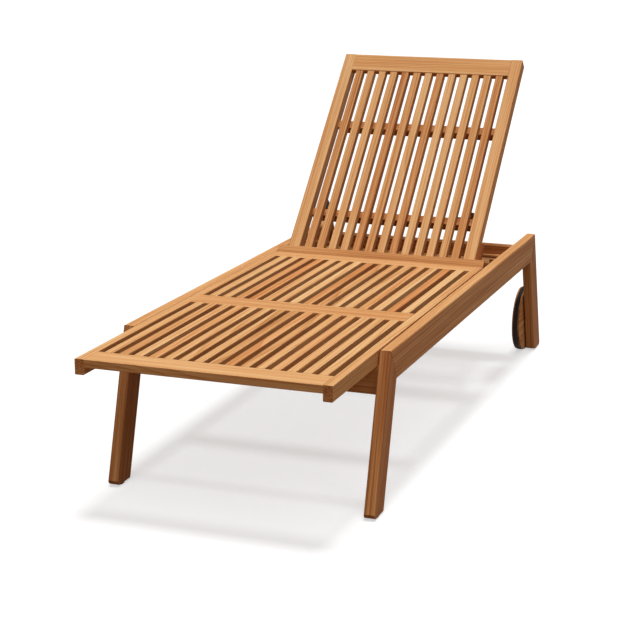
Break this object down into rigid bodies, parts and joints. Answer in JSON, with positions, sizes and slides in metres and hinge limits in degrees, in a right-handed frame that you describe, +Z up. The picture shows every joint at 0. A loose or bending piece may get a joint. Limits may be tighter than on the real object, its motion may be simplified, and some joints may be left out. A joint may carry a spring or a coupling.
{
  "type": "reclining sun lounger",
  "caption": "Slatted wooden sun lounger with raked legs, an overhanging bed, a reclining slatted back held by a prop on notched racks, and two rear wheels.",
  "frame": {"origin": "on the floor under the middle of the overall box", "axes": "+X to the right of someone who stands at the foot end facing the back, +Y from the foot end to the head end, +Z up"},
  "size_m": [0.692, 1.8992, 0.9146],
  "materials": {
    "teak_side_frame": "satin",
    "teak_bed_frame": "satin",
    "teak_slats": "satin",
    "teak_back_frame": "satin",
    "teak_pivot_rail": "satin",
    "teak_prop": "satin",
    "teak_wheel": "satin",
    "hardwood_dowels": "matt",
    "black_metal": "satin black",
    "tyre_rubber": "matt",
    "foot_rubber": "matt"
  },
  "bodies": {
    "base": {"axle_bolts": "black_metal", "axle_washers": "black_metal", "bed_stile_left": "teak_bed_frame", "bed_stile_right": "teak_bed_frame", "foot_end_rail": "teak_bed_frame", "foot_pad_front_left": "foot_rubber", "foot_pad_front_right": "foot_rubber", "foot_pad_rear_left": "foot_rubber", "foot_pad_rear_right": "foot_rubber", "frame_dowels": "hardwood_dowels", "front_cross_rail": "teak_bed_frame", "front_leg_left": "teak_side_frame", "front_leg_right": "teak_side_frame", "middle_rail": "teak_bed_frame", "mitre_splines": "hardwood_dowels", "prop_rack_left": "teak_prop", "prop_rack_right": "teak_prop", "rear_cross_rail": "teak_bed_frame", "rear_leg_left": "teak_side_frame", "rear_leg_right": "teak_side_frame", "rear_shelf_rail": "teak_bed_frame", "seat_rear_rail": "teak_bed_frame", "seat_slats_front": "teak_slats", "seat_slats_rear": "teak_slats", "side_rail_left": "teak_side_frame", "side_rail_right": "teak_side_frame"},
    "backrest": {"back_batten_lower": "teak_back_frame", "back_batten_upper": "teak_back_frame", "back_cheek_left": "teak_back_frame", "back_cheek_right": "teak_back_frame", "back_pivot_rail": "teak_pivot_rail", "back_slat_01": "teak_slats", "back_slat_02": "teak_slats", "back_slat_03": "teak_slats", "back_slat_04": "teak_slats", "back_slat_05": "teak_slats", "back_slat_06": "teak_slats", "back_slat_07": "teak_slats", "back_slat_08": "teak_slats", "back_slat_09": "teak_slats", "back_slat_10": "teak_slats", "back_slat_11": "teak_slats", "back_slat_12": "teak_slats", "back_slat_13": "teak_slats", "back_stile_left": "teak_back_frame", "back_stile_right": "teak_back_frame", "back_top_rail": "teak_back_frame", "pivot_pins": "black_metal", "prop_bolts": "black_metal", "prop_bracket_left": "black_metal", "prop_bracket_right": "black_metal"},
    "prop": {"prop_arm_left": "teak_prop", "prop_arm_right": "teak_prop", "prop_crossbar": "teak_prop", "prop_foot_pins": "teak_prop"},
    "wheel_left": {"wheel_disc_left": "teak_wheel", "wheel_tyre_left": "tyre_rubber"},
    "wheel_right": {"wheel_disc_right": "teak_wheel", "wheel_tyre_right": "tyre_rubber"}
  },
  "joints": [
    {"name": "backrest_recline", "type": "hinge", "parent": "base", "child": "backrest", "pos_m": [0, 0.31142, 0.366], "axis": [1, 0, 0], "range_deg": [-45.7, 14.5]},
    {"name": "prop_swing", "type": "hinge", "parent": "backrest", "child": "prop", "pos_m": [0, 0.47607, 0.49176], "axis": [1, 0, 0], "range_deg": [-32.6, 102.4]},
    {"name": "wheel_left_spin", "type": "hinge", "parent": "base", "child": "wheel_left", "pos_m": [0, 0.84958, 0.1015], "axis": [1, 0, 0], "continuous": true},
    {"name": "wheel_right_spin", "type": "hinge", "parent": "base", "child": "wheel_right", "pos_m": [0, 0.84958, 0.1015], "axis": [1, 0, 0], "continuous": true}
  ],
  "couplings": [
    {"joint": "prop_swing", "follows": "backrest_recline", "ratio": -2.24}
  ]
}
